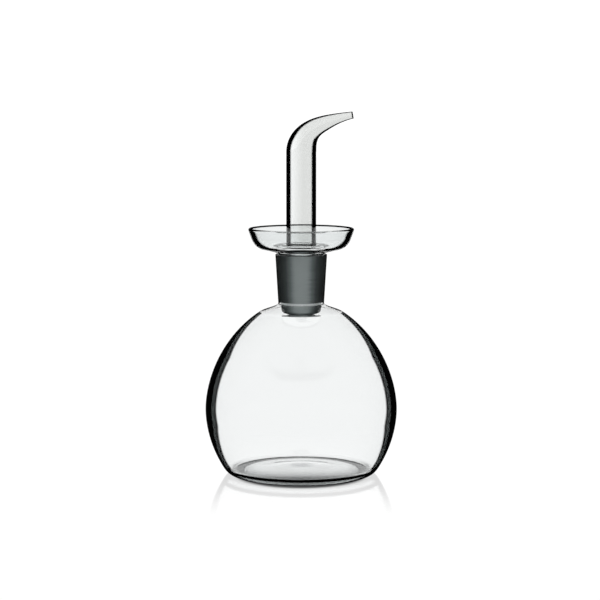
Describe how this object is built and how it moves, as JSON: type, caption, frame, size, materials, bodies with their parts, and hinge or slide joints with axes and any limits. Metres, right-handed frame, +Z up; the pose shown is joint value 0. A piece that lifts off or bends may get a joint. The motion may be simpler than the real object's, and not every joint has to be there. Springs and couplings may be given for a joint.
{
  "type": "oil bottle with pouring spout",
  "caption": "Empty round glass oil cruet with a ground neck, and a fused glass pourer with a drip saucer, an upright tube and a bent spout.",
  "frame": {"origin": "middle of the flask's standing ring, on the surface that it stands on", "axes": "+Z up along the axis of the flask, +X the way the spout points"},
  "size_m": [0.1208, 0.1208, 0.2279],
  "materials": {
    "flask_glass": "clear blown glass, gloss, ground matt inside the neck",
    "pourer_glass": "clear lampworked glass, gloss, ground matt on the cone"
  },
  "bodies": {
    "root": {"bottle": "flask_glass", "pourer": "pourer_glass"}
  },
  "joints": []
}
